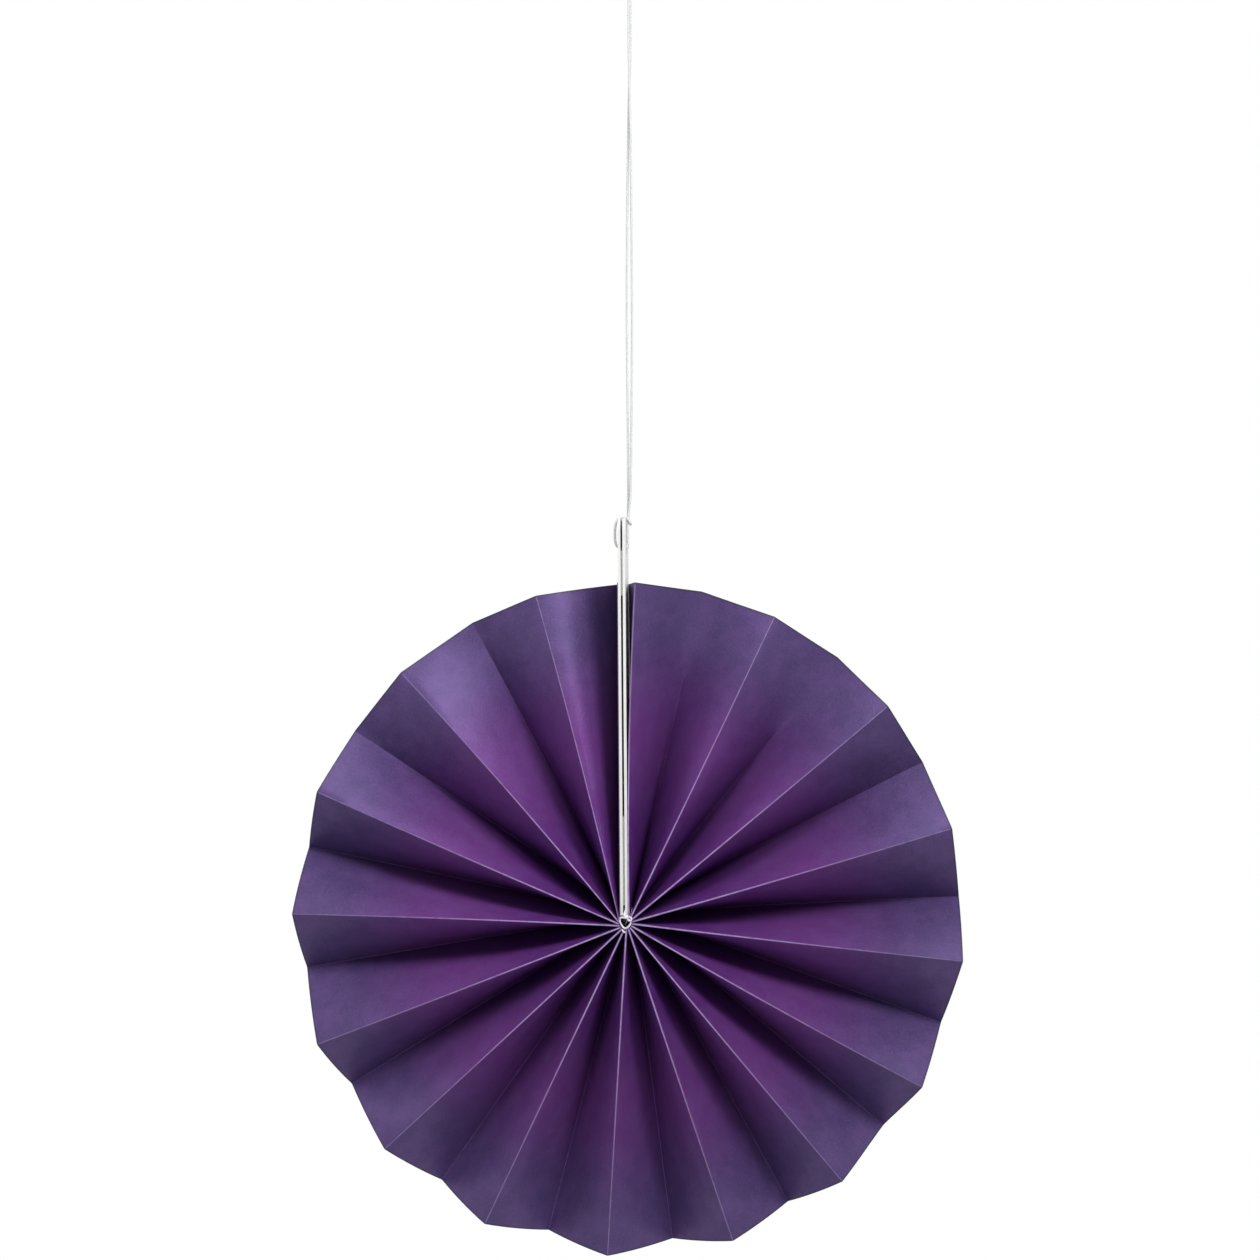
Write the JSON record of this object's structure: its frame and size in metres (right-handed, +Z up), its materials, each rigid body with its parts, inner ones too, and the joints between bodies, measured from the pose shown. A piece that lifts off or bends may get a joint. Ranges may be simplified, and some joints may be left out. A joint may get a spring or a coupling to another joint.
{
  "type": "hanging paper fan rosette",
  "caption": "Pleated paper strip opened into a flat round rosette, its card-backed ends joined in a punched tab that hangs on a hitched double string with a small loop.",
  "frame": {"origin": "where a hook bears under the top of the string loop", "axes": "+Z up, the rosette's front faces -Y, +X is to the viewer's right"},
  "size_m": [0.1998, 0.0263, 0.4003],
  "materials": {
    "purple_paper": "pearly satin, smooth",
    "white_card": "matt",
    "clear_tape": "matt foam",
    "white_thread": "twisted thread",
    "white_string": "two-ply twisted cord"
  },
  "bodies": {
    "root": {"pleated_paper": "purple_paper", "end_card_left": "white_card", "end_card_right": "white_card", "tape_outer": "clear_tape", "tape_inner": "clear_tape", "centre_thread": "white_thread", "hanging_string": "white_string", "hanging_loop": "white_string", "string_knot": "white_string"}
  },
  "joints": []
}
